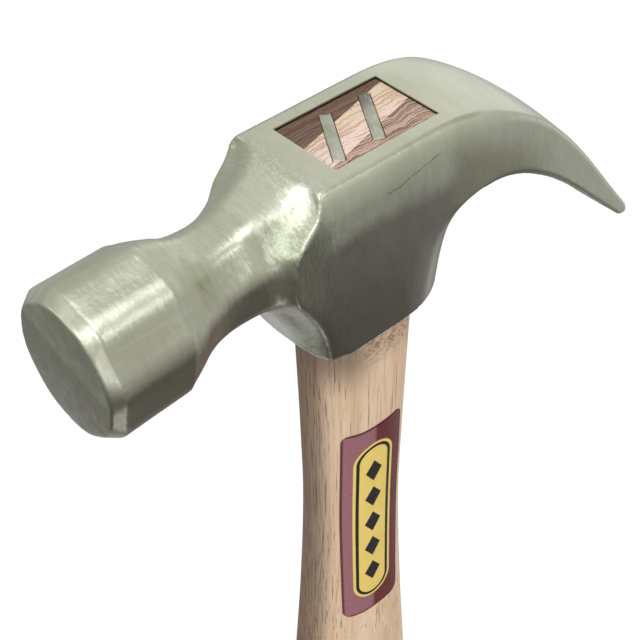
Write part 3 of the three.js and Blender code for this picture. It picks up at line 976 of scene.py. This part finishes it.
def handle_timber():
    """The handle's timber, with painted shade on its front, darker and rough below the collar, and a
    painted shadow under the collar on its front.
    """
    f, x, z, left, end_grain, base, fibre, slits = timber(
        "handle_timber", ((0.8, 0.59, 0.39), (0.63, 0.41, 0.24), (0.2, 0.11, 0.07)),
        ((0.56, 0.38, 0.28), (0.17, 0.1, 0.06), (0.11, 0.045, 0.03)), 0.9)
    # Painted shade: the front of the shaft, the side facing -X, is painted darker
    painted_side_shade = f.blend(left * 0.94, base, (0.15, 0.09, 0.05))
    marks = f.cloud(f.joined(x * 0.7, x * 0.2, z * 1.1), 1, 6, 0.8)
    on_shaft = 1 - end_grain
    below_collar = on_shaft * z.rise(-51, -44)
    # Darker just under the collar, on the back of the shaft
    darker_below_collar = f.blend(below_collar * x.rise(-8, -1) * 0.4, painted_side_shade, (0.45, 0.3, 0.19))
    rough_marks = below_collar * marks.rise(0.48, 0.56) * x.rise(-8, -3)
    worn = f.blend(rough_marks * 0.8, darker_below_collar, (0.24, 0.15, 0.09))
    # Painted shadow under the collar on the front of the shaft
    collar_painted_shadow = f.blend(on_shaft * x.rise(0, -8) * z.rise(-57, -45) * 0.75, worn, (0.15, 0.095, 0.06))
    rough = 0.5 + fibre * 0.2 + slits * 0.2
    return f.surface(Base_Color=collar_painted_shadow, Roughness=rough, Normal=f.bump(fibre * 0.4 - slits, 0.00012))


def wedge_timber():
    """The paler timber of the wooden wedge, seen on its end."""
    f, *_, base, fibre, slits = timber(
        "wedge_timber", ((0.8, 0.62, 0.48), (0.7, 0.47, 0.33), (0.4, 0.24, 0.16)),
        ((0.82, 0.64, 0.53), (0.74, 0.57, 0.4), (0.52, 0.3, 0.2)), 0.5)
    rough = 0.5 + fibre * 0.2
    return f.surface(Base_Color=base, Roughness=rough, Normal=f.bump(fibre * 0.4 - slits, 0.0001))


def wedge_steel():
    """Dull steel with slanting scratches, darker at the far end of the rear wedge."""
    f = Finish("wedge_steel")
    x, y, _ = f.axes(f.place())
    place = f.mapped(f.place(), turn=0.5)
    scratches = f.cloud(f.mapped(place, scale=(2600, 260, 260)), 1, 3, 0.6)
    clouds = f.cloud(place, 320, 4, 0.6)
    base = f.blend(clouds.rise(0.35, 0.65), (0.44, 0.44, 0.34), (0.56, 0.56, 0.45))
    # Darker towards the far end of the rear wedge
    darker_far_end = f.blend((y / MM).rise(0, 4.5) * (x / MM).rise(-1, 3) * 0.75, base, (0.19, 0.175, 0.165))
    scratched = f.blend(scratches.rise(0.55, 0.7) * 0.5, darker_far_end, (0.75, 0.75, 0.66))
    rough = 0.36 + scratches * 0.2
    return f.surface(Base_Color=scratched, Metallic=1.0, Roughness=rough,
                     Normal=f.bump(scratches + clouds, 0.00006))


def label_film():
    """Maroon film with a painted sheen on its left part, a dark border, and a yellow panel with a black
    line and a row of lozenges.
    """
    f = Finish("label_film")
    side, up, _ = f.axes(f.film_place())
    grain = f.cloud(f.place(), 1600, 3, 0.6)
    fade = f.cloud(f.place(), 160, 3, 0.5)
    maroon = f.blend(fade, (0.12, 0.018, 0.02), (0.17, 0.03, 0.032))
    # Painted sheen: the left part of the film is painted a lighter mauve
    painted_sheen = f.blend(side.rise(0.9, -0.4) * 0.62, maroon, (0.42, 0.2, 0.22))
    edge = (side.size() - LABEL_HALF_WIDTH / MM).most(up.size() - LABEL_HALF_HEIGHT / MM)
    base = f.blend(edge.rise(-0.6, -0.35) * 0.75, painted_sheen, (0.05, 0.008, 0.014))
    past_end = (up.size() - PANEL_STRAIGHT).most(0)
    panel = (side ** 2 + past_end ** 2) ** 0.5 - PANEL_HALF_WIDTH
    yellow = f.blend(fade, (0.78, 0.55, 0.1), (0.88, 0.68, 0.2))
    base = f.blend(panel.rise(0.1, -0.1), base, yellow)
    line = panel.rise(-0.55, -0.7) * panel.rise(-1.45, -1.3)
    base = f.blend(line, base, (0.02, 0.018, 0.018))
    from_middle = ((up / LOZENGE_PITCH + 0.5).fraction() - 0.5).size() * LOZENGE_PITCH
    lozenge = (side.size() / LOZENGE_HALF_WIDTH + from_middle / LOZENGE_HALF_HEIGHT).rise(1.05, 0.95)
    in_row = up.size().rise(LOZENGE_ROW, LOZENGE_ROW - 0.2)
    base = f.blend(lozenge * in_row, base, (0.025, 0.02, 0.02))
    rough = 0.2 + grain * 0.12
    return f.surface(Base_Color=base, Roughness=rough, Specular_IOR_Level=0.32,
                     Normal=f.bump(grain, 0.00002))


# The stage


def floor_paint():
    """Matt and nearly white."""
    f = Finish("floor_paint")
    base = f.blend(f.cloud(f.place(), 3, 2), (0.93, 0.93, 0.93), (0.95, 0.95, 0.95))
    return f.surface(Base_Color=base, Roughness=0.9)


def floor():
    """A plain floor just below the butt, which the steel doesn't mirror."""
    bm = bmesh.new()
    bmesh.ops.create_grid(bm, x_segments=4, y_segments=4, size=4)
    bmesh.ops.translate(bm, verts=bm.verts, vec=(0, 0, BUTT - 0.2 * MM))
    piece = to_piece(bm, "floor")
    piece.data.materials.append(floor_paint())
    piece.visible_glossy = False


def direction(azimuth, elevation):
    """The way from the head to a light or camera; azimuth 0 is -Y and 90 is +X."""
    a, e = math.radians(azimuth), math.radians(elevation)
    return Vector((math.sin(a) * math.cos(e), -math.cos(a) * math.cos(e), math.sin(e)))


def studio():
    """A soft room: bright above, mid grey round the sides and dark below, with round panels of light."""
    f = Finish("studio", bpy.data.worlds)
    way = f.node("ShaderNodeTexCoord", output="Generated")
    rise = f.axes(way)[2]
    room = f.ramp(rise * 0.5 + 0.5, [
        (0, 0.22), (0.065, 0.2), (0.125, 0.19), (0.17, 0.2), (0.25, 0.34), (0.35, 0.48), (0.5, 0.56),
        (0.65, 0.62), (0.84, 0.7), (0.9, 0.68), (0.96, 0.65), (1, 0.75)])
    lit = 0
    for azimuth, elevation, inner, outer, strength in STUDIO_PANELS:
        facing = f.vector("DOT_PRODUCT", way, direction(azimuth, elevation), 1)
        lit = facing.rise(math.cos(math.radians(outer)), math.cos(math.radians(inner))) * strength + lit
    soft = f.node("ShaderNodeBackground", {}, {"Color": (1, 1, 0.985, 1), "Strength": room})
    bright = f.node("ShaderNodeBackground", {}, {"Color": (0.98, 0.99, 1.1, 1), "Strength": lit})
    both = f.node("ShaderNodeAddShader", {}, {0: soft, 1: bright})
    f.node("ShaderNodeOutputWorld", {}, {"Surface": both}, None)
    bpy.context.scene.world = f.owner
    bpy.context.scene.view_settings.view_transform = "Standard"


def camera():
    """The camera at the photographer's place, looking down on the near front corner of the head."""
    data = bpy.data.cameras.new("camera")
    data.lens = CAMERA_LENS
    data.sensor_width = 36
    data.shift_x, data.shift_y = CAMERA_SHIFT
    data.clip_start = 0.01
    body = bpy.data.objects.new("camera", data)
    look = direction(CAMERA_AZIMUTH, CAMERA_ELEVATION).to_track_quat("Z", "Y").to_matrix()
    rolled = look @ Matrix.Rotation(math.radians(CAMERA_ROLL), 3, "Z")
    body.matrix_world = Matrix.Translation(CAMERA_PLACE) @ rolled.to_4x4()
    bpy.context.scene.collection.objects.link(body)
    bpy.context.scene.camera = body


def dress(piece, node, finish):
    """Gives a piece its finish, hangs it on the root body, and hides the part of the node it stands in
    for.
    """
    piece.data.materials.clear()
    piece.data.materials.append(finish)
    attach(piece, "root")
    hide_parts(node)


camera()
studio()
floor()
dress(head(), "head", forged_steel())
dress(handle(), "handle", handle_timber())
dress(wood_wedge(), "wood_wedge", wedge_timber())
pin_finish = wedge_steel()
for node, reach in PIN_REACHES.items():
    dress(steel_wedge(node.replace("steel", "strip"), reach), node, pin_finish)
dress(label(), "label", label_film())
